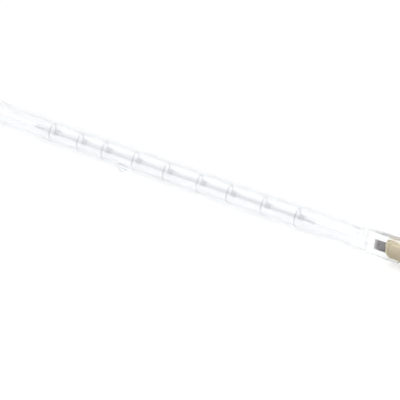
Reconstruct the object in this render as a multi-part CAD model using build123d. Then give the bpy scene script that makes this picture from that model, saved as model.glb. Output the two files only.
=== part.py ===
from build123d import *
import os
from math import asin, atan2, cos, degrees, hypot, pi, radians, sin

# A double-ended quartz lamp, lying on a flat surface with its axis along X.
# The origin is on that surface, under the middle of the lamp. Sizes are in millimetres.

# Quartz tube and its two pressed ends
tube_od = 10.0
tube_wall = 1.0
tube_half = 79.0  # middle of the lamp to where the tube starts to flatten
pinch_run = 4.6  # the tube flattens over this length
press_t = 3.0
press_edge = 0.4  # rounding of the press's end edges
press_lean = 13.0  # the press leans this far from upright, in degrees
bore_nose = 3.4  # the bore closes over this length
bore_end_t = 0.7  # thickness of the bore's closed end
bore_corner = 3.0  # rounding of the bore's end, seen on the press's face
bore_lead = 1.0  # the bore starts to flatten this far before the outside does
bore_flat = 0.5  # length of the flat at the thin end

# Exhaust tip
tip_x = -20.4
tip_reach = 6.4  # axis of the lamp to the end of the tip
tip_foot_r = 1.8
tip_nose_r = 0.6
tip_nose_long = 0.25
tip_clear = 0.15  # from the surface below to the tip's rim

# Filament, drawn at an open pitch with straight chords
cold_end = 17.0  # from the end of the coil to where the tube starts to flatten
coil_od = 1.6
coil_wire = 0.36
coil_pitch = 1.4
coil_chords = 5  # straight stretches in each turn

# Filament supports, one wire each, with tight turns on the coil and a ring in the bore.
# Their places are shares of the coil's half length.
support_shares = (-0.861, -0.655, -0.474, -0.253, -0.029, 0.208, 0.418, 0.656, 0.885)
support_wire = 0.38
support_grip = 0.03  # between the coil and the tight turns
support_play = 0.03  # between the ring and the bore
grip_turns = 3
grip_pitch = 0.96
grip_chords = 6
leg_sweep = 75.0  # the wire turns this far as it goes out to the ring, in degrees
leg_chords = 3
ring_sweep = 250.0
ring_chords = 11
ring_gap_at = -41.0  # direction of the ring's open side, in degrees from +Y towards +Z

# Sealing foils and lead wires
foil_inset = 2.9  # from where the press is flat to the foil's inner end
foil_long = 8.7
press_past_foil = 1.8  # from the foil's outer end to the end of the press
foil_wide = 4.0
foil_t = 0.06
foil_feather = 0.5  # the foil thins to its long edges over this width
foil_edge_t = 0.02
lead_d = 0.6
lead_play = 0.02  # between a lead wire and the hole round it
lead_on_foil = 2.0  # length of each lead's weld to the foil
lead_in_coil = 4.0

# Ceramic end caps, slotted over the presses
cap_over = 4.6  # length of press inside the cap's slot
cap_web = 3.6  # ceramic between the slot and the contact's seat
cap_neck_d = 6.8
cap_nose_run = 4.2  # length of the domed nose
cap_nose_d = 4.6  # across the flat at the end of the dome
dome_chords = 2
collar_d = 7.6
collar_long = 5.6
collar_ease = 0.4
recess_d = 4.4
recess_deep = 1.7
recess_ease = 0.3
seat_d = 3.5  # pocket under the recess, for the contact
cement_t = 0.25  # between the press and the cap's ears
cement_wide = 6.0
cement_out = 1.4  # the cement stands this far out of the cap
end_play = 0.3  # cement behind the end of the press

# Contacts
contact_play = 0.05  # between the contact and the pocket round it
contact_t = 0.6
contact_ease = 0.15
shank_d = 1.8
shank_hole_d = 2.1
shank_wall_end = 0.4  # solid end of the shank, past the lead wire

# Radii and thicknesses that follow from these
tube_r = tube_od / 2
bore_r = tube_r - tube_wall
slot_t = press_t + 2 * cement_t
contact_r = seat_d / 2 - contact_play

# Distances from the middle of the lamp that follow from these
coil_half = tube_half - cold_end
foil_in = tube_half + pinch_run + foil_inset
press_half = foil_in + foil_long + press_past_foil
cap_nose = press_half - cap_over
slot_end = press_half + end_play
seat_floor = slot_end + cap_web
recess_floor = seat_floor + contact_t
cap_half = recess_floor + recess_deep
lead_r = lead_d / 2
foil_side = lead_r + foil_t / 2  # the leads run on the lamp's axis and the foil beside them
lead_tip = recess_floor - shank_wall_end
axis_up = Pos(0, 0, tube_r)
end_turn = Rot(X=-press_lean)


def both_ends(shape):
    """The right-hand shape turned to the press's lean, and its mirror image on the left."""
    right = axis_up * end_turn * shape
    return {"right": right, "left": mirror(right, Plane.YZ)}


def pinch_profile(half_height, start, run, end_half_height, end):
    """Half the side view of a shape that flattens from one height to another, seen along the press."""
    with BuildSketch(Plane.XY) as sketch:
        with BuildLine():
            flat = Line((0, 0), (0, half_height))
            top = Line(flat @ 1, (start, half_height))
            ease = Spline(
                top @ 1,
                (start + run, end_half_height),
                tangents=((1, 0), (1, 0)),
                tangent_scalars=(1.0, 1.0),
            )
            low = Line(ease @ 1, (end, end_half_height))
            Polyline(low @ 1, (end, 0), (0, 0))
        make_face()
    return sketch.sketch


def flattened(profile, width):
    """A solid as wide as given along Z, whose side view is the profile on both sides of the axis."""
    upper = extrude(profile, width / 2, both=True)
    return upper + mirror(upper, Plane.XZ)


def envelope_half():
    """The right half of the quartz, from the middle of the lamp to the end of its press."""
    round_bar = extrude(Plane.YZ * Circle(tube_r), press_half)
    outer = round_bar & flattened(
        pinch_profile(tube_r, tube_half, pinch_run, press_t / 2, press_half), tube_od
    )
    ends = outer.faces().sort_by(Axis.X)[-1].edges()
    return chamfer(ends, press_edge)


def bore_plan():
    """The outline of the bore's right half, seen on the face of the press."""
    straight = tube_half + bore_nose - bore_corner
    closed = tube_half + bore_nose
    blunt = bore_r - bore_corner
    with BuildSketch(Plane.XZ) as sketch:
        with BuildLine():
            Line((0, -bore_r), (straight, -bore_r))
            RadiusArc((straight, -bore_r), (closed, -blunt), -bore_corner)
            Line((closed, -blunt), (closed, blunt))
            RadiusArc((closed, blunt), (straight, bore_r), -bore_corner)
            Polyline((straight, bore_r), (0, bore_r), (0, -bore_r))
        make_face()
    return sketch.sketch


def bore_half():
    """The right half of the space inside the tube, which closes to a wedge at the press."""
    closed = tube_half + bore_nose
    straight = extrude(Plane.YZ * Circle(bore_r), closed)
    start = tube_half - bore_lead
    run = bore_nose + bore_lead - bore_flat
    wedge = flattened(pinch_profile(bore_r, start, run, bore_end_t / 2, closed), 2 * bore_r)
    return straight & wedge & extrude(bore_plan(), bore_r, both=True)


def exhaust_tip():
    """The sealed stub of the pumping tube, turned so that its end stays just clear of the surface below."""
    foot = (bore_r + tube_r) / 2
    shoulder = tube_r - tip_foot_r**2 / (2 * tube_r)
    outline = (
        (0, foot),
        (tip_foot_r, foot),
        (tip_foot_r, shoulder),
        (tip_nose_r, tip_reach - tip_nose_long),
        (0, tip_reach),
    )
    stub = revolve(Plane.XZ * make_face(Polyline(*outline, close=True)), Axis.Z)
    rim_long = tip_reach - tip_nose_long
    rim_lowest = asin((tube_r - tip_clear) / hypot(rim_long, tip_nose_r))
    below = degrees(rim_lowest - atan2(tip_nose_r, rim_long))
    return Pos(tip_x, 0, 0) * Rot(X=90 + below) * stub


def foil():
    """A strip of metal foil with feathered long edges, sealed flat in the press."""
    half = foil_wide / 2
    outline = (
        (foil_t / 2, -half + foil_feather),
        (foil_t / 2, half - foil_feather),
        (foil_edge_t / 2, half),
        (-foil_edge_t / 2, half),
        (-foil_t / 2, half - foil_feather),
        (-foil_t / 2, -half + foil_feather),
        (-foil_edge_t / 2, -half),
        (foil_edge_t / 2, -half),
    )
    section = Plane.YZ.offset(foil_in) * make_face(Polyline(*outline, close=True))
    return Pos(0, -foil_side, 0) * extrude(section, foil_long)


def rod(start, end, radius):
    """A round bar on the axis, between two distances from the middle of the lamp."""
    return extrude(Plane.YZ.offset(start) * Circle(radius), end - start)


def inner_lead(radius=lead_r):
    """The wire from inside the coil's end to the foil."""
    return rod(coil_half - lead_in_coil, foil_in + lead_on_foil, radius)


def outer_lead(radius=lead_r):
    """The wire from the foil, out of the press and into the contact's shank."""
    return rod(foil_in + foil_long - lead_on_foil, lead_tip, radius)


def envelope():
    """The quartz: tube, both presses and the exhaust tip in one piece, hollow round what it holds."""
    right = envelope_half() - bore_half()
    for held in (foil(), inner_lead(lead_r + lead_play), outer_lead(lead_r + lead_play)):
        right -= held
    right = end_turn * right
    return axis_up * (right + mirror(right, Plane.YZ) + exhaust_tip())


def wound_wire(stations, width):
    """A square wire in straight stretches through stations, each a place on the axis, a radius and an angle.

    The stretches twist a little, so their two side faces are each folded into flat triangles.
    """
    points = [Vector(x, r * cos(a), r * sin(a)) for x, r, a in stations]
    sections = []
    for index, point in enumerate(points):
        along = points[min(index + 1, len(points) - 1)] - points[max(index - 1, 0)]
        across = Vector(0, along.Z, -along.Y).normalized() * (width / 2)
        side = Vector(width / 2, 0, 0)
        sections.append((
            point + across + side,
            point + across - side,
            point - across - side,
            point - across + side,
        ))
    outlines = [sections[0], sections[-1]]
    for near, far in zip(sections, sections[1:]):
        outlines.append((near[0], near[1], far[1], far[0]))
        outlines.append((near[2], near[3], far[3], far[2]))
        for first, second in ((1, 2), (3, 0)):
            outlines.append((near[first], near[second], far[second]))
            outlines.append((near[first], far[second], far[first]))
    faces = [Face(Wire.make_polygon(outline, close=True)) for outline in outlines]
    return Solid(Shell(faces))


def filament_coil():
    """The tungsten coil, which the inner leads enter at each end."""
    chords = round(2 * coil_half / coil_pitch) * coil_chords
    middle_r = (coil_od - coil_wire) / 2
    reach = coil_half - coil_wire / 2
    stations = []
    for step in range(chords + 1):
        x = -reach + 2 * reach * step / chords
        stations.append((x, middle_r, 2 * pi * step / coil_chords))
    return axis_up * wound_wire(stations, coil_wire)


def filament_support():
    """One support wire, with its ring at the middle of the lamp and its tight turns towards +X."""
    grip_r = (coil_od / 2 + support_grip) / cos(pi / grip_chords) + support_wire / 2
    ring_r = bore_r - support_play - support_wire / 2
    ring_start = radians(ring_gap_at + (360 - ring_sweep) / 2)
    leg_start = ring_start - radians(leg_sweep)
    stations = []
    for step in range(grip_turns * grip_chords):
        back = 1 - step / (grip_turns * grip_chords)
        stations.append((grip_turns * grip_pitch * back, grip_r, leg_start - 2 * pi * grip_turns * back))
    for step in range(leg_chords):
        share = step / leg_chords
        swell = share * share * (3 - 2 * share)
        radius = grip_r + (ring_r - grip_r) * swell
        stations.append((0, radius, leg_start + radians(leg_sweep) * share))
    for step in range(ring_chords + 1):
        stations.append((0, ring_r, ring_start + radians(ring_sweep) * step / ring_chords))
    return axis_up * wound_wire(stations, support_wire)


def dome_points():
    """Points on the cap's domed nose, from its flat end to the neck, on a quarter of an ellipse."""
    rise = (cap_neck_d - cap_nose_d) / 2
    points = []
    for step in range(dome_chords + 1):
        turn = pi / 2 * step / dome_chords
        points.append((cap_nose + cap_nose_run * (1 - cos(turn)), cap_nose_d / 2 + rise * sin(turn)))
    return points


def ceramic_cap():
    """The ceramic end: two ears either side of the press, a collar, and a recess for the contact."""
    with BuildSketch(Plane.XY) as sketch:
        with BuildLine():
            step_x = cap_half - collar_long
            Polyline(
                (cap_nose, 0),
                *dome_points(),
                (step_x - collar_ease, cap_neck_d / 2),
                (step_x, collar_d / 2),
                (cap_half - collar_ease, collar_d / 2),
                (cap_half, collar_d / 2 - collar_ease),
                (cap_half, recess_d / 2 + recess_ease),
                (cap_half - recess_ease, recess_d / 2),
                (recess_floor, recess_d / 2),
                (recess_floor, seat_d / 2),
                (seat_floor, seat_d / 2),
                (seat_floor, 0),
                (cap_nose, 0),
            )
        make_face()
    body = revolve(sketch.sketch, Axis.X)
    slot_long = slot_end - cap_nose + 1
    slot = Pos(slot_end - slot_long / 2, 0, 0) * Box(slot_long, slot_t, 2 * collar_d)
    return body - slot - rod(slot_end - 1, seat_floor + 1, shank_hole_d / 2)


def cement():
    """The cement that fills the cap's slot round the end of the press."""
    start = cap_nose - cement_out
    long = slot_end - start
    block = Pos(start + long / 2, 0, 0) * Box(long, slot_t, cement_wide)
    press_long = press_half - start + 1
    press = Pos(press_half - press_long / 2, 0, 0) * Box(press_long, press_t, tube_od)
    return block - press - rod(start, slot_end + 1, lead_r + lead_play)


def contact():
    """The metal contact: a disc in the cap's recess, with a shank on the outer lead."""
    hole_r = lead_r + lead_play
    outline = (
        (lead_tip, 0),
        (lead_tip, hole_r),
        (slot_end, hole_r),
        (slot_end, shank_d / 2),
        (seat_floor, shank_d / 2),
        (seat_floor, contact_r),
        (recess_floor - contact_ease, contact_r),
        (recess_floor, contact_r - 3 * contact_ease),
        (recess_floor, 0),
    )
    return revolve(make_face(Polyline(*outline, close=True)), Axis.X)


def pieces():
    """Every piece of the lamp, by name."""
    made = {"quartz_envelope": envelope(), "filament_coil": filament_coil()}
    support = filament_support()
    for number, share in enumerate(support_shares, start=1):
        made[f"filament_support_{number}"] = Pos(share * coil_half, 0, 0) * support
    paired = {
        "foil": foil(),
        "inner_lead": inner_lead(),
        "outer_lead": outer_lead(),
        "ceramic_cap": ceramic_cap(),
        "cement": cement(),
        "contact": contact(),
    }
    for name, shape in paired.items():
        for side, placed in both_ends(shape).items():
            made[f"{name}_{side}"] = placed
    return made


os.makedirs("parts", exist_ok=True)
for name, shape in pieces().items():
    export_step(shape, f"parts/{name}.step")
    print(name, round(shape.volume, 2))
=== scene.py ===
from math import asin, atan2, cos, hypot, pi, radians, sin, sqrt

import bpy
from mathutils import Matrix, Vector, noise


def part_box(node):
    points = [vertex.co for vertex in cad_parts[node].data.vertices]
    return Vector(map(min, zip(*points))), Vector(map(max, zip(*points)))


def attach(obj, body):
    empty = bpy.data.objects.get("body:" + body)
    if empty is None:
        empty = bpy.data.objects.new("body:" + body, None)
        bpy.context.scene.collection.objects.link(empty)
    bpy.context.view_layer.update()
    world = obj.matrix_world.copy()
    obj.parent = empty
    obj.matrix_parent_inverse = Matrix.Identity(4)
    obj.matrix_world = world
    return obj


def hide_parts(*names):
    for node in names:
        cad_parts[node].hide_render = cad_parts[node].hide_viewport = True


# Lengths below are in millimetres, and MM turns them into Blender's metres.
MM = 0.001

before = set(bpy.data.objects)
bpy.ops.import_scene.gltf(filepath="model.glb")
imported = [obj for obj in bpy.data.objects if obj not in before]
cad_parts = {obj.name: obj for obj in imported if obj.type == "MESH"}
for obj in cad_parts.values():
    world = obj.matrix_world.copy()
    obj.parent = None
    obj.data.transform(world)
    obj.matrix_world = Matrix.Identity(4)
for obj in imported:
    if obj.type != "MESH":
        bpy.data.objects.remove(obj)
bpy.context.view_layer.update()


def box_mm(node):
    """The lowest and highest corners of a node, in millimetres."""
    low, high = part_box(node)
    return Vector(low) / MM, Vector(high) / MM


# Places and sizes read from the frame
quartz_low, quartz_high = box_mm("quartz_envelope")
tube_r = (quartz_high.z - quartz_low.z) / 2
axis_z = (quartz_high.z + quartz_low.z) / 2
press_end = quartz_high.x
coil_high = box_mm("filament_coil")[1]
coil_half = coil_high.x
coil_r = coil_high.y
cap_low, cap_high = box_mm("ceramic_cap_right")
cap_nose, cap_end = cap_low.x, cap_high.x
recess_floor = box_mm("contact_right")[1].x
foil_low, foil_high = box_mm("foil_right")
foil_in, foil_out = foil_low.x, foil_high.x

# The quartz, as in the part
tube_wall = 1.0
bore_r = tube_r - tube_wall
tube_half = 79.0
pinch_run = 4.6
press_t = 3.0
press_edge = 0.4
press_lean = radians(13.0)
bore_nose = 3.4
bore_lead = 1.0
bore_flat = 0.5
bore_end_t = 0.7
bore_corner = 3.0
tip_x = -20.4
tip_reach = 6.4
tip_foot_r = 1.9
tip_nose_r = 0.6
tip_nose_long = 0.25
tip_clear = 0.15

# How far the tip's foot spreads, the close sections beyond it, and how softly the pinch meets its flats
tip_flare = 1.16
tip_margin = 0.2
flat_ease = 0.5

# How far apart the quartz's sections stand, how many corners each has, and the steps round the press's end
plain_step = 2.5
tip_step = 0.13
pinch_step = 0.2
press_step = 1.0
nose_step = 0.12
outside_around = 192
inside_around = 120
edge_steps = 5

# The wires
support_count = 9
support_wire = 0.24
support_turns = 2
support_grip_long = 2.4
support_leg = radians(75.0)
support_ring = radians(147.0)
support_gap_at = radians(-11.5)
ring_play = 0.03
grip_play = 0.05
ring_r = bore_r - ring_play - support_wire / 2
grip_r = coil_r + grip_play + support_wire / 2
coil_wire = 0.22
coil_pitch = 0.5

# How far a cutting block goes past the end and the sides of what it cuts
cut_past = 1.0
cut_half = 8.0

# The ceramic ends and the contacts
cap_neck_r = 3.4
cap_nose_r = 2.3
cap_nose_run = 4.2
collar_r = 3.8
collar_long = 5.6
collar_ease = 0.4
recess_r = 2.2
recess_ease = 0.3
seat_r = 1.75
contact_r = 1.7
contact_t = 0.6
slot_t = 3.5
slot_end = 97.3
shank_r = 0.9
ceramic_voxel = 0.09

# The rounding of each contact's edge: its radius, and the angle in radians where it ends
contact_edge = 0.25
contact_edge_end = 0.25

# The dimple in each contact: its depths below the face and the radii where they are reached
dimple = ((0.0, 0.9), (0.02, 0.62), (0.1, 0.4), (0.13, 0.0))

# The cement between the press and the ceramic, and its front edge
cement_out = 1.4
cement_half = 3.0
cement_corner = 2.2
cement_top_corner = 0.65 * cement_corner
cement_short = 0.5
cement_slant = 0.14
cement_play = 0.005
cement_bite = 0.03
cement_voxel = 0.06

# How uneven the cement is: its waves in a millimetre, the pattern of each end,
# and how far they move the front and the long edges
cement_waves = 0.8
cement_pattern = {"left": 9, "right": 0}
front_waver = 0.35
front_run = 2.6
edge_waver = 0.3
edge_band = 0.6

# The bead of cement between the press's near face and the ceramic's nose
bead_foot = 2.3
bead_shoulder = 2.9
bead_proud = 0.14
bead_tuck = 0.1
bead_thick = 0.5
bead_lip = 0.4
bead_lip_drop = 0.3

# How high the bead reaches up the press, at distances from the cement's front edge
bead_tops = ((0.3, 3.1), (1.6, 4.0), (3.2, 4.6), (4.8, 4.5), (6.25, 3.5))

# The foils, seen on the face of the press
foil_half = 2.0
foil_t = 0.06
foil_edge_t = 0.02
foil_feather = 0.5
foil_side = 0.33
foil_sink = 0.06
lead_on_foil = 2.0
ridge_high = 0.09
ridge_half = 0.3
ridge_ease = 0.6
foil_waver = 0.02
foil_waves = 0.9
foil_pattern = 4.0
foil_step = 0.1

# The share of light that passes the quartz straight: in the tube, where it is pinched,
# in the press and in the tip
tube_share = 0.85
pinch_share = 0.65
press_share = 0.27
tip_share = 0.42

# Where these shares change: before the tube's end, past the bore's end and away from the tip
pinch_fade = (4.0, 1.0)
press_fade = 2.0
tip_fade = (2.2, 3.4)

# Where a grain's grey value goes from the darker to the lighter colour, and how far roughness follows it
grain_low = 0.3
grain_high = 0.7
rough_spread = 0.2

# The light that the floor gives by itself and its grey, where it is seen, and its grey for all other light
floor_glow = 0.64
floor_seen = 0.38
floor_plain = 0.85
floor_size = 6

# The world's light on what stands in it, where 1 is white
world_light = 0.4

# The key light: the way to it, how wide it is and its watts per square metre
key_way = (-0.05, 0.03, 1.0)
key_spread = radians(50.0)
key_strength = 2.0

# The camera, by the photo
view_turn = radians(30.5)
view_tilt = radians(36.5)
view_distance = 900.0
view_lens = 214.65
view_sensor = 36.0
view_aim = Vector((14.7, -4.08, 0.25))


# Pieces and meshes


def make_piece(name, verts, faces, smooth=True):
    """A mesh object from places in millimetres."""
    mesh = bpy.data.meshes.new(name)
    mesh.from_pydata([Vector(v) * MM for v in verts], [], faces)
    mesh.validate()
    mesh.update()
    if smooth:
        mesh.polygons.foreach_set("use_smooth", [True] * len(mesh.polygons))
    piece = bpy.data.objects.new(name, mesh)
    bpy.context.collection.objects.link(piece)
    return piece


def stand_for(piece, node):
    """Ties a piece to the lamp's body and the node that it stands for."""
    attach(piece, "root")
    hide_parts(node)


def leaned(x, across, along):
    """A place on the lamp from its place in the press: across the press's thickness and along its width."""
    y = across * cos(press_lean) + along * sin(press_lean)
    z = -across * sin(press_lean) + along * cos(press_lean)
    return Vector((x, y, axis_z + z))


def stitch(rings):
    """Quads between rings of equal length, with a fan to a middle point at each end."""
    verts = []
    for ring in rings:
        verts.extend(ring)
    size = len(rings[0])
    faces = []
    for row in range(len(rings) - 1):
        for step in range(size):
            after = (step + 1) % size
            first = row * size
            faces.append((first + step, first + after, first + size + after, first + size + step))
    for row, flipped in ((0, True), (len(rings) - 1, False)):
        middle = sum((Vector(v) for v in rings[row]), Vector()) / size
        verts.append(middle)
        first = row * size
        for step in range(size):
            after = (step + 1) % size
            fan = (first + step, first + after, len(verts) - 1)
            faces.append(fan[::-1] if flipped else fan)
    return verts, faces


# The quartz envelope


def blend_down(x, start, run, high, low):
    """Goes from high to low over a run, gently at both ends."""
    share = min(max((x - start) / run, 0.0), 1.0)
    return high + (low - high) * share * share * (3 - 2 * share)


def soft_limit(value, limit, ease):
    """Holds a value within a limit, with a small rounding where it meets the limit."""
    size = abs(value)
    overlap = max(ease - abs(size - limit), 0.0) / ease if ease > 1e-6 else 0.0
    size = min(size, limit) - overlap * overlap * ease / 4
    return size if value >= 0 else -size


def spaced(start, end, step):
    """Values from start up to end at about the given step, without the end itself."""
    count = max(round((end - start) / step), 1)
    return [start + (end - start) * index / count for index in range(count)]


def pressed_ring(x, high, wide, round_r, around):
    """A section of a tube that is pressed flat, by half its height and half its width."""
    ease = flat_ease * (1 - high / round_r)
    ring = []
    for step in range(around):
        turn = 2 * pi * step / around
        across = soft_limit(round_r * sin(turn), high, ease)
        ring.append(leaned(x, across, wide * cos(turn)))
    return ring


def tip_facing():
    """The angle at which the exhaust tip stands on the tube, as the tube's sections count it."""
    rim_long = tip_reach - tip_nose_long
    rim_lowest = asin((tube_r - tip_clear) / hypot(rim_long, tip_nose_r))
    below = rim_lowest - atan2(tip_nose_r, rim_long)
    return atan2(-cos(below), -sin(below)) - press_lean


def tip_swell(x, turn):
    """How far the exhaust tip lifts the quartz above the tube, at a place along and round it."""
    round_way = (turn - tip_facing() + pi) % (2 * pi) - pi
    away = hypot(x - tip_x, tube_r * round_way)
    return blend_down(away, 0.0, tip_foot_r * tip_flare, tip_reach - tube_r, 0.0)


def tube_ring(x, around):
    """A round section of the tube, with the exhaust tip where it passes."""
    ring = []
    for step in range(around):
        turn = 2 * pi * step / around
        radius = tube_r + tip_swell(x, turn)
        ring.append(leaned(x, radius * sin(turn), radius * cos(turn)))
    return ring


def both_ways(right):
    """Distances from the middle on the right, with their mirror images on the left, in order."""
    return [-x for x in reversed(right)] + [x for x in right if x > 0]


def quartz_outside():
    """The rings of the quartz's outer surface, from its right end to its left."""
    around = outside_around
    tip_half = tip_foot_r * tip_flare + tip_margin
    tube = spaced(-tube_half, tip_x - tip_half, plain_step)
    tube += spaced(tip_x - tip_half, tip_x + tip_half, tip_step)
    tube += spaced(tip_x + tip_half, tube_half, plain_step)
    rings = [tube_ring(x, around) for x in tube]
    flat_start = tube_half + pinch_run
    flat_end = press_end - press_edge
    end_rings = []
    for x in spaced(tube_half, flat_start, pinch_step) + spaced(flat_start, flat_end, press_step):
        high = blend_down(x, tube_half, pinch_run, tube_r, press_t / 2)
        end_rings.append((x, high, tube_r))
    for step in range(edge_steps + 1):
        turn = pi / 2 * step / edge_steps
        inset = press_edge * (1 - cos(turn))
        end_rings.append((flat_end + press_edge * sin(turn), press_t / 2 - inset, tube_r - inset))
    right = [pressed_ring(x, high, wide, tube_r, around) for x, high, wide in end_rings]
    left = [pressed_ring(-x, high, wide, tube_r, around) for x, high, wide in end_rings]
    return right[::-1] + rings[:0:-1] + left


def bore_wide(x):
    """Half the bore's width at a distance from the middle of the lamp."""
    straight = tube_half + bore_nose - bore_corner
    reach = min(max(abs(x) - straight, 0.0), bore_corner)
    return bore_r - bore_corner + sqrt(bore_corner**2 - reach**2)


def quartz_inside():
    """The rings of the bore, from its left end to its right."""
    start = tube_half - bore_lead
    run = bore_nose + bore_lead - bore_flat
    closed = tube_half + bore_nose
    right = [0.0] + spaced(plain_step, start, plain_step)
    right += spaced(start, closed, nose_step) + [closed]
    rings = []
    for x in both_ways(right):
        high = blend_down(abs(x), start, run, bore_r, bore_end_t / 2)
        rings.append(pressed_ring(x, high, bore_wide(x), bore_r, inside_around))
    return rings


def quartz_glass(material):
    """The quartz as one mesh: its outer surface, and the bore's surface facing inwards."""
    verts, faces = stitch(quartz_outside())
    inner_verts, inner_faces = stitch(quartz_inside())
    base = len(verts)
    faces += [tuple(base + corner for corner in face) for face in inner_faces]
    piece = make_piece("quartz_glass", verts + inner_verts, faces)
    piece.data.materials.append(material)
    stand_for(piece, "quartz_envelope")


# The coil and its supports


def wound(stations, radius, sides):
    """Round wire through stations, each a place along the axis, a radius and an angle from +Y to +Z."""
    points = [Vector((x, r * cos(a), r * sin(a) + axis_z)) for x, r, a in stations]
    rings = []
    for index, (x, r, a) in enumerate(stations):
        along = points[min(index + 1, len(points) - 1)] - points[max(index - 1, 0)]
        along.normalize()
        outward = Vector((0, cos(a), sin(a)))
        outward = (outward - outward.dot(along) * along).normalized()
        aside = along.cross(outward)
        ring = []
        for step in range(sides):
            turn = 2 * pi * step / sides
            ring.append(points[index] + radius * (cos(turn) * outward + sin(turn) * aside))
        rings.append(ring)
    return stitch(rings)


def coil_winding(material):
    """The tungsten coil, with its turns nearly closed."""
    turns = round(2 * coil_half / coil_pitch)
    chords = 14
    reach = coil_half - coil_wire / 2
    middle_r = coil_r - coil_wire / 2
    stations = []
    for step in range(turns * chords + 1):
        share = step / (turns * chords)
        stations.append((-reach + 2 * reach * share, middle_r, 2 * pi * step / chords))
    piece = make_piece("coil_winding", *wound(stations, coil_wire / 2, sides=6))
    piece.data.materials.append(material)
    stand_for(piece, "filament_coil")


def support_stations(ring_x):
    """The run of one support's wire: tight turns on the coil, a leg outwards and a ring in the bore."""
    ring_start = support_gap_at + (2 * pi - support_ring) / 2
    leg_start = ring_start - support_leg
    stations = []
    grip_chords = 16
    for step in range(support_turns * grip_chords):
        back = 1 - step / (support_turns * grip_chords)
        x = ring_x + support_grip_long * back
        stations.append((x, grip_r, leg_start - 2 * pi * support_turns * back))
    leg_chords = 14
    for step in range(leg_chords):
        share = step / leg_chords
        radius = blend_down(share, 0.0, 1.0, grip_r, ring_r)
        stations.append((ring_x, radius, leg_start + support_leg * share))
    ring_chords = 56
    for step in range(ring_chords + 1):
        stations.append((ring_x, ring_r, ring_start + support_ring * step / ring_chords))
    return stations


def filament_supports(material):
    """The nine support wires, each where the frame has its ring."""
    for number in range(1, support_count + 1):
        node = f"filament_support_{number}"
        ring_x = box_mm(node)[0].x + support_wire / 2
        winding = wound(support_stations(ring_x), support_wire / 2, sides=10)
        piece = make_piece(f"support_wire_{number}", *winding)
        piece.data.materials.append(material)
        stand_for(piece, node)


# The ceramic ends, the cement, the foils and the contacts


def arc_points(centre, radius, start, end, steps):
    """Points of an arc in a profile of distance along the lamp and radius."""
    points = []
    for step in range(steps + 1):
        turn = start + (end - start) * step / steps
        points.append((centre[0] + radius * cos(turn), centre[1] + radius * sin(turn)))
    return points


def turned(profile, around):
    """A solid of revolution about the lamp's axis, from places along it and radii."""
    rings = []
    for x, radius in profile:
        ring = []
        for step in range(around):
            turn = 2 * pi * step / around
            ring.append(Vector((x, radius * sin(turn), radius * cos(turn))))
        rings.append(ring)
    return stitch(rings[::-1])


def block(name, low, high):
    """A plain box between two corners, as a tool for cutting."""
    verts = [(x, y, z) for x in (low[0], high[0]) for y in (low[1], high[1]) for z in (low[2], high[2])]
    faces = [(0, 1, 3, 2), (4, 6, 7, 5), (0, 4, 5, 1), (2, 3, 7, 6), (0, 2, 6, 4), (1, 5, 7, 3)]
    return make_piece(name, verts, faces, smooth=False)


def cut_away(piece, cutter):
    """Takes the cutter's solid out of the piece, and the cutter out of the scene."""
    change = piece.modifiers.new("cut", "BOOLEAN")
    change.operation = "DIFFERENCE"
    change.solver = "EXACT"
    change.object = cutter
    settle(piece)
    bpy.data.objects.remove(cutter)


def add_solid(piece, verts, faces):
    """Adds a closed solid to the piece's mesh, in millimetres."""
    own = [vertex.co / MM for vertex in piece.data.vertices]
    own_faces = [tuple(face.vertices) for face in piece.data.polygons]
    moved = [tuple(corner + len(own) for corner in face) for face in faces]
    mesh = bpy.data.meshes.new(piece.name)
    mesh.from_pydata([Vector(v) * MM for v in own + verts], [], own_faces + moved)
    mesh.update()
    piece.data = mesh


def settle(piece):
    """Writes a piece's modifiers into its mesh."""
    seen = piece.evaluated_get(bpy.context.evaluated_depsgraph_get())
    mesh = bpy.data.meshes.new_from_object(seen)
    piece.modifiers.clear()
    piece.data = mesh


def soften(piece, voxel, rounds):
    """Rounds the edges of a cut solid a little, as fired ceramic and set cement have them."""
    remesh = piece.modifiers.new("grain", "REMESH")
    remesh.mode = "VOXEL"
    remesh.voxel_size = voxel * MM
    smooth = piece.modifiers.new("ease", "SMOOTH")
    smooth.factor = 0.5
    smooth.iterations = rounds
    settle(piece)
    piece.data.polygons.foreach_set("use_smooth", [True] * len(piece.data.polygons))


def place_end(piece, side):
    """Turns a right-hand end piece to the press's lean, and mirrors it for the left."""
    way = 1 if side == "right" else -1
    for vertex in piece.data.vertices:
        x, across, along = vertex.co / MM
        vertex.co = leaned(way * x, across, along) * MM
    if way < 0:
        piece.data.flip_normals()
    piece.data.update()


def cap_profile():
    """The ceramic end's outline, from its nose over the collar into the recess."""
    points = [(cap_nose, 0.0)]
    steps = 24
    for step in range(steps + 1):
        turn = pi / 2 * step / steps
        rise = cap_neck_r - cap_nose_r
        points.append((cap_nose + cap_nose_run * (1 - cos(turn)), cap_nose_r + rise * sin(turn)))
    step_x = cap_end - collar_long
    points += [(step_x - collar_ease, cap_neck_r), (step_x, collar_r)]
    points += [(cap_end - collar_ease, collar_r), (cap_end, collar_r - collar_ease)]
    points += [(cap_end, recess_r + recess_ease), (cap_end - recess_ease, recess_r)]
    points += [(recess_floor, recess_r), (recess_floor, seat_r)]
    points += [(recess_floor - contact_t, seat_r), (recess_floor - contact_t, 0.0)]
    return points


def ceramic_ends(material):
    """The two ceramic ends, slotted over the presses."""
    for side in ("left", "right"):
        piece = make_piece(f"ceramic_end_{side}", *turned(cap_profile(), around=128))
        slot_start = (cap_nose - cut_past, -slot_t / 2, -cut_half)
        slot = block("slot", slot_start, (slot_end, slot_t / 2, cut_half))
        cut_away(piece, slot)
        soften(piece, ceramic_voxel, rounds=4)
        place_end(piece, side)
        piece.data.materials.clear()
        piece.data.materials.append(material)
        stand_for(piece, f"ceramic_cap_{side}")


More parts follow.
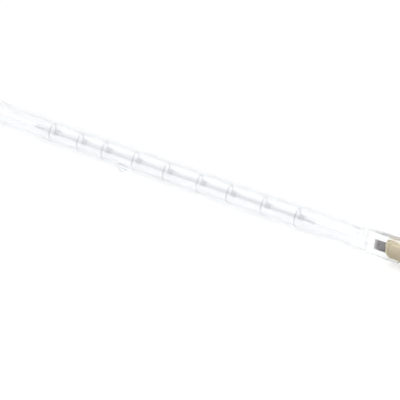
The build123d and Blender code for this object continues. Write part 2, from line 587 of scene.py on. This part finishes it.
def cement_front(across, along):
    """How far back the cement's front edge lies: aslant, round at its corners, shorter on the near side."""
    corner = cement_corner if along < 0 else cement_top_corner
    beyond = max(abs(along) - (cement_half - corner), 0.0)
    back = corner - sqrt(max(corner**2 - beyond**2, 0.0)) - cement_slant * along
    return back + (cement_short if across < 0 else 0.0)


def nose_radius(x):
    """The ceramic nose's radius at a distance along the lamp."""
    share = min(max((x - cap_nose) / cap_nose_run, 0.0), 1.0)
    return cap_nose_r + (cap_neck_r - cap_nose_r) * sqrt(1 - (1 - share)**2)


def cement_bead(start):
    """The cement squeezed out over the near ear's upper edge, as it lies up the face of the press."""
    face = press_t / 2 - cement_bite
    rings = []
    for back, top in bead_tops:
        x = start + back
        radius = nose_radius(x)
        foot_out = sqrt(max(radius**2 - bead_foot**2, 0.0)) - bead_tuck
        shoulder_out = sqrt(max(radius**2 - bead_shoulder**2, 0.0)) + bead_proud
        section = [
            (-face, top),
            (-face - bead_lip, top - bead_lip_drop),
            (-max(shoulder_out, face + bead_thick), min(bead_shoulder, top - bead_thick)),
            (-max(foot_out, face + bead_tuck), bead_foot),
            (-face, bead_foot),
        ]
        rings.append([Vector((x, across, along)) for across, along in section])
    return stitch(rings)


def make_uneven(piece, start, pattern):
    """Lets the cement's front and long edges waver, each pattern number in its own way."""
    for vertex in piece.data.vertices:
        place = vertex.co / MM
        wave = noise.noise(place * cement_waves + Vector((0, 0, pattern)))
        rim = min(max(abs(place.z) - (cement_half - edge_band), 0.0) / edge_band, 1.0)
        place.z += edge_waver * wave * rim * (1 if place.z > 0 else -1)
        share = max(1 - (place.x - start) / front_run, 0.0)
        place.x += (cement_front(place.y, place.z) + front_waver * wave) * share
        vertex.co = place * MM


def cement_fills(material):
    """The cement between each press and its ceramic end, a little uneven where it shows."""
    start = cap_nose - cement_out
    half = slot_t / 2 - cement_play
    face = press_t / 2 - cement_bite
    for side in ("left", "right"):
        end = (slot_end - cement_play, half, cement_half)
        piece = block(f"cement_fill_{side}", (start, -half, -cement_half), end)
        press_start = (start - cut_past, -face, -cut_half)
        press = block("press", press_start, (press_end - cement_bite, face, cut_half))
        cut_away(piece, press)
        add_solid(piece, *cement_bead(start))
        soften(piece, cement_voxel, rounds=6)
        make_uneven(piece, start, cement_pattern[side])
        place_end(piece, side)
        piece.data.materials.clear()
        piece.data.materials.append(material)
        stand_for(piece, f"cement_{side}")


def foil_lift(x, along):
    """How far the foil stands off its plane: it wraps a little over the leads and is not quite flat."""
    from_end = min(x - foil_in, foil_out - x)
    over_lead = blend_down(from_end, lead_on_foil - ridge_ease / 2, ridge_ease, ridge_high, 0.0)
    ridge = over_lead * 2 ** (-(along / ridge_half) ** 2)
    place = Vector((x * foil_waves, along * foil_waves, foil_pattern))
    return ridge + foil_waver * noise.noise(place)


def foil_sheets(material):
    """The two sealing foils, thinned to their long edges."""
    across_steps = 44
    for side in ("left", "right"):
        way = 1 if side == "right" else -1
        rings = []
        for x in spaced(foil_in, foil_out, foil_step) + [foil_out]:
            front, back = [], []
            for step in range(across_steps + 1):
                along = -foil_half + 2 * foil_half * step / across_steps
                edge = min((foil_half - abs(along)) / foil_feather, 1.0)
                thick = foil_edge_t + (foil_t - foil_edge_t) * edge
                plane = -foil_side + foil_sink - foil_lift(x, along)
                front.append(leaned(way * x, plane - thick / 2, along))
                back.append(leaned(way * x, plane + thick / 2, along))
            rings.append(front + back[::-1])
        piece = make_piece(f"foil_sheet_{side}", *stitch(rings if side == "left" else rings[::-1]))
        piece.data.set_sharp_from_angle(angle=radians(50))
        piece.data.materials.append(material)
        stand_for(piece, f"foil_{side}")


def contact_buttons(material):
    """The metal contacts at the bottom of the recesses."""
    edge_x = recess_floor - contact_edge
    profile = [(slot_end, 0.0), (slot_end, shank_r), (recess_floor - contact_t, shank_r)]
    profile += [(recess_floor - contact_t, contact_r), (edge_x, contact_r)]
    corner = (edge_x, contact_r - contact_edge)
    profile += arc_points(corner, contact_edge, pi / 2, contact_edge_end, steps=6)
    profile += [(recess_floor - depth, radius) for depth, radius in dimple]
    for side in ("left", "right"):
        piece = make_piece(f"contact_button_{side}", *turned(profile, around=96))
        place_end(piece, side)
        piece.data.materials.append(material)
        piece.data.set_sharp_from_angle(angle=radians(40))
        stand_for(piece, f"contact_{side}")


# Materials


def new_material(name):
    """A new material, with its node tree and its shader."""
    material = bpy.data.materials.new(name)
    material.use_nodes = True
    tree = material.node_tree
    return material, tree, tree.nodes["Principled BSDF"]


def grain(tree, scale, detail, stretch=(1, 1, 1)):
    """Noise over the object, stretched along its axes. Scale is per metre."""
    place = tree.nodes.new("ShaderNodeTexCoord")
    turn = tree.nodes.new("ShaderNodeMapping")
    turn.inputs["Scale"].default_value = stretch
    spots = tree.nodes.new("ShaderNodeTexNoise")
    spots.inputs["Scale"].default_value = scale
    spots.inputs["Detail"].default_value = detail
    tree.links.new(place.outputs["Object"], turn.inputs["Vector"])
    tree.links.new(turn.outputs["Vector"], spots.inputs["Vector"])
    return spots


def ramp(tree, source, dark, light):
    """Turns a grain's grey value into a colour between two."""
    steps = tree.nodes.new("ShaderNodeValToRGB")
    steps.color_ramp.elements[0].position = grain_low
    steps.color_ramp.elements[0].color = dark
    steps.color_ramp.elements[1].position = grain_high
    steps.color_ramp.elements[1].color = light
    tree.links.new(source, steps.inputs["Fac"])
    return steps.outputs["Color"]


def relief(tree, shader, source, depth_mm):
    """Raises the surface by a grey value, in millimetres."""
    bump = tree.nodes.new("ShaderNodeBump")
    bump.inputs["Distance"].default_value = depth_mm * MM
    bump.inputs["Strength"].default_value = 1.0
    tree.links.new(source, bump.inputs["Height"])
    tree.links.new(bump.outputs["Normal"], shader.inputs["Normal"])


def grey(value):
    """A grey colour of one level."""
    return (value, value, value, 1)


def fade(tree, source, start, end, first, last):
    """A grey value that goes smoothly from first to last while the source goes from start to end."""
    share = tree.nodes.new("ShaderNodeMapRange")
    share.interpolation_type = "SMOOTHSTEP"
    share.inputs["From Min"].default_value = start
    share.inputs["From Max"].default_value = end
    share.inputs["To Min"].default_value = first
    share.inputs["To Max"].default_value = last
    tree.links.new(source, share.inputs["Value"])
    return share.outputs["Result"]


def joined(tree, operation, first, second=None):
    """One grey value from one or two, by the named operation."""
    step = tree.nodes.new("ShaderNodeMath")
    step.operation = operation
    tree.links.new(first, step.inputs[0])
    if second is not None:
        tree.links.new(second, step.inputs[1])
    return step.outputs["Value"]


def by_tip(tree, at_tip, elsewhere):
    """A grey value that has one level at the exhaust tip and another elsewhere."""
    place = tree.nodes.new("ShaderNodeTexCoord")
    away = tree.nodes.new("ShaderNodeVectorMath")
    away.operation = "DISTANCE"
    facing = tip_facing()
    away.inputs[1].default_value = leaned(tip_x, tube_r * sin(facing), tube_r * cos(facing)) * MM
    tree.links.new(place.outputs["Object"], away.inputs[0])
    near, far = tip_fade
    return fade(tree, away.outputs["Value"], near * MM, far * MM, at_tip, elsewhere)


def tinted(tree, share, first, second):
    """A colour that goes from first to second by a grey value."""
    mix = tree.nodes.new("ShaderNodeMix")
    mix.data_type = "RGBA"
    mix.inputs["A"].default_value = first
    mix.inputs["B"].default_value = second
    tree.links.new(share, mix.inputs["Factor"])
    return mix.outputs["Result"]


def distance_along(tree):
    """The distance from the lamp's middle, along the lamp, in metres."""
    place = tree.nodes.new("ShaderNodeTexCoord")
    parts = tree.nodes.new("ShaderNodeSeparateXYZ")
    tree.links.new(place.outputs["Object"], parts.inputs["Vector"])
    return joined(tree, "ABSOLUTE", parts.outputs["X"])


def straight_share(tree):
    """The share of light that passes straight: less in the presses and the tip, but not in shadows."""
    from_middle = distance_along(tree)
    start, end = [(tube_half - before) * MM for before in pinch_fade]
    pinch = fade(tree, from_middle, start, end, tube_share, pinch_share)
    closed = tube_half + bore_nose
    press = fade(tree, from_middle, closed * MM, (closed + press_fade) * MM, 1.0, press_share)
    tip = by_tip(tree, tip_share, 1.0)
    seen = joined(tree, "MINIMUM", joined(tree, "MINIMUM", pinch, press), tip)
    rays = tree.nodes.new("ShaderNodeLightPath")
    in_shadow = fade(tree, rays.outputs["Is Shadow Ray"], 0.0, 1.0, 0.0, tube_share)
    return joined(tree, "MAXIMUM", seen, in_shadow)


def quartz_material():
    """Clear quartz, drawn along the tube, with painted shade that makes it greyer at the tip. Some light
    passes straight.
    """
    material, tree, shader = new_material("quartz")
    at_tip = by_tip(tree, 1.0, 0.0)
    # Painted shade: the glass and the light passing straight through it are tinted greyer at the exhaust
    # tip.
    body = tinted(tree, at_tip, (0.96, 0.97, 0.98, 1), (0.91, 0.92, 0.925, 1))
    straight = tinted(tree, at_tip, (0.982, 0.986, 0.990, 1), (0.93, 0.935, 0.94, 1))
    tree.links.new(body, shader.inputs["Base Color"])
    shader.inputs["Transmission Weight"].default_value = 1.0
    shader.inputs["IOR"].default_value = 1.458
    shader.inputs["Roughness"].default_value = 0.0
    lines = grain(tree, scale=260, detail=3, stretch=(0.03, 1, 1))
    relief(tree, shader, lines.outputs["Fac"], depth_mm=0.002)
    clear = tree.nodes.new("ShaderNodeBsdfTransparent")
    tree.links.new(straight, clear.inputs["Color"])
    mix = tree.nodes.new("ShaderNodeMixShader")
    output = tree.nodes["Material Output"]
    tree.links.new(straight_share(tree), mix.inputs["Fac"])
    tree.links.new(shader.outputs["BSDF"], mix.inputs[1])
    tree.links.new(clear.outputs["BSDF"], mix.inputs[2])
    tree.links.new(mix.outputs["Shader"], output.inputs["Surface"])
    return material


def metal_material(name, dark, light, rough, scale, depth_mm, stretch=(1, 1, 1)):
    """A metal whose colour and roughness vary a little, with a fine relief."""
    material, tree, shader = new_material(name)
    shader.inputs["Metallic"].default_value = 1.0
    spots = grain(tree, scale, detail=4, stretch=stretch)
    tree.links.new(ramp(tree, spots.outputs["Fac"], dark, light), shader.inputs["Base Color"])
    smoother, rougher = grey(rough * (1 - rough_spread)), grey(rough * (1 + rough_spread))
    tree.links.new(ramp(tree, spots.outputs["Fac"], smoother, rougher), shader.inputs["Roughness"])
    relief(tree, shader, spots.outputs["Fac"], depth_mm)
    return material


def foil_material():
    """Rolled molybdenum, paler towards its inner end."""
    dark, light, pale = (0.15, 0.142, 0.142, 1), (0.34, 0.322, 0.325, 1), (0.66, 0.64, 0.65, 1)
    pale_share, pale_run = 0.8, 1.8
    material = metal_material("foil", dark, light, 0.35, 420, 0.02)
    tree = material.node_tree
    shader = tree.nodes["Principled BSDF"]
    rolled = shader.inputs["Base Color"].links[0].from_socket
    paler = tree.nodes.new("ShaderNodeMix")
    paler.data_type = "RGBA"
    paler.inputs["B"].default_value = pale
    share = fade(tree, distance_along(tree), foil_in * MM, (foil_in + pale_run) * MM, pale_share, 0.0)
    tree.links.new(share, paler.inputs["Factor"])
    tree.links.new(rolled, paler.inputs["A"])
    tree.links.new(paler.outputs["Result"], shader.inputs["Base Color"])
    return material


def baked_material(name, dark, light, rough, scale, depth_mm):
    """A matt fired or set material with fine specks and a grainy surface."""
    material, tree, shader = new_material(name)
    spots = grain(tree, scale, detail=6)
    tree.links.new(ramp(tree, spots.outputs["Fac"], dark, light), shader.inputs["Base Color"])
    shader.inputs["Roughness"].default_value = rough
    shader.inputs["Specular IOR Level"].default_value = 0.4
    relief(tree, shader, spots.outputs["Fac"], depth_mm)
    return material


# The floor, the light and the camera


def white_floor():
    """A white surface under the lamp, which keeps its shadow."""
    bpy.ops.mesh.primitive_plane_add(size=floor_size)
    floor = bpy.context.object
    floor.name = "floor"
    material = bpy.data.materials.new("floor")
    material.use_nodes = True
    tree = material.node_tree
    tree.nodes.clear()
    output = tree.nodes.new("ShaderNodeOutputMaterial")
    seen = tree.nodes.new("ShaderNodeAddShader")
    seen_light = tree.nodes.new("ShaderNodeEmission")
    seen_light.inputs["Color"].default_value = grey(1)
    seen_light.inputs["Strength"].default_value = floor_glow
    seen_matt = tree.nodes.new("ShaderNodeBsdfDiffuse")
    seen_matt.inputs["Color"].default_value = grey(floor_seen)
    plain = tree.nodes.new("ShaderNodeBsdfDiffuse")
    plain.inputs["Color"].default_value = grey(floor_plain)
    mix = tree.nodes.new("ShaderNodeMixShader")
    tree.links.new(seen_light.outputs["Emission"], seen.inputs[0])
    tree.links.new(seen_matt.outputs["BSDF"], seen.inputs[1])
    tree.links.new(white_rays(tree), mix.inputs["Fac"])
    tree.links.new(plain.outputs["BSDF"], mix.inputs[1])
    tree.links.new(seen.outputs["Shader"], mix.inputs[2])
    tree.links.new(mix.outputs["Shader"], output.inputs["Surface"])
    floor.data.materials.append(material)


def white_rays(tree):
    """1 for the rays that should meet plain white: from the camera, mirrored and through glass."""
    rays = tree.nodes.new("ShaderNodeLightPath")
    either = rays.outputs["Is Camera Ray"]
    for kind in ("Is Glossy Ray", "Is Transmission Ray"):
        either = joined(tree, "MAXIMUM", either, rays.outputs[kind])
    return either


def white_world():
    """White where it is seen, and a plain even light for what stands in it."""
    world = bpy.data.worlds.new("studio")
    bpy.context.scene.world = world
    world.use_nodes = True
    tree = world.node_tree
    back = tree.nodes["Background"]
    back.inputs["Color"].default_value = grey(1)
    level = tree.nodes.new("ShaderNodeMapRange")
    level.inputs["To Min"].default_value = world_light
    level.inputs["To Max"].default_value = 1.0
    tree.links.new(white_rays(tree), level.inputs["Value"])
    tree.links.new(level.outputs["Result"], back.inputs["Strength"])


def soft_key():
    """A wide even light from one direction, like a large softbox."""
    light = bpy.data.lights.new("key", "SUN")
    light.angle = key_spread
    light.energy = key_strength
    lamp = bpy.data.objects.new("key", light)
    lamp.location = key_way
    lamp.rotation_euler = Vector(key_way).to_track_quat("Z", "Y").to_euler()
    bpy.context.collection.objects.link(lamp)


def photo_camera():
    """The camera, where the photograph was taken from."""
    data = bpy.data.cameras.new("camera")
    data.lens = view_lens
    data.sensor_width = view_sensor
    data.clip_end = 10.0
    camera = bpy.data.objects.new("camera", data)
    way = Vector((cos(view_tilt) * sin(view_turn), -cos(view_tilt) * cos(view_turn), sin(view_tilt)))
    camera.location = (view_aim + way * view_distance) * MM
    camera.rotation_euler = way.to_track_quat("Z", "Y").to_euler()
    bpy.context.collection.objects.link(camera)
    bpy.context.scene.camera = camera


def give_material(material, *nodes):
    """The CAD nodes that are shown as they are, in a material."""
    for node in nodes:
        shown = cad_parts[node]
        shown.data.materials.clear()
        shown.data.materials.append(material)


# The lamp, dressed

# The materials: darker and lighter colour, roughness, grain per metre and relief in millimetres
tungsten = metal_material("tungsten", (0.82, 0.82, 0.83, 1), (0.90, 0.90, 0.91, 1), 0.35, 900, 0.004)
wire = metal_material("support_wire", (0.40, 0.40, 0.41, 1), (0.50, 0.50, 0.51, 1), 0.4, 500, 0.004)
ceramic = baked_material("ceramic", (0.555, 0.477, 0.335, 1), (0.66, 0.582, 0.43, 1), 0.55, 1100, 0.02)
cement = baked_material("cement", (0.80, 0.71, 0.52, 1), (0.90, 0.81, 0.62, 1), 0.85, 1600, 0.05)
contact = metal_material("contact", (0.50, 0.49, 0.46, 1), (0.64, 0.63, 0.60, 1), 0.30, 700, 0.01)
lead_dark, lead_light, drawn_out = (0.86, 0.87, 0.88, 1), (0.93, 0.94, 0.95, 1), (0.1, 1, 1)
lead_metal = metal_material("lead_wire", lead_dark, lead_light, 0.42, 600, 0.005, drawn_out)

quartz_glass(quartz_material())
coil_winding(tungsten)
filament_supports(wire)
ceramic_ends(ceramic)
cement_fills(cement)
contact_buttons(contact)
foil_sheets(foil_material())
give_material(lead_metal, "inner_lead_left", "inner_lead_right", "outer_lead_left", "outer_lead_right")

white_floor()
white_world()
soft_key()
photo_camera()
bpy.context.scene.view_settings.view_transform = "Standard"
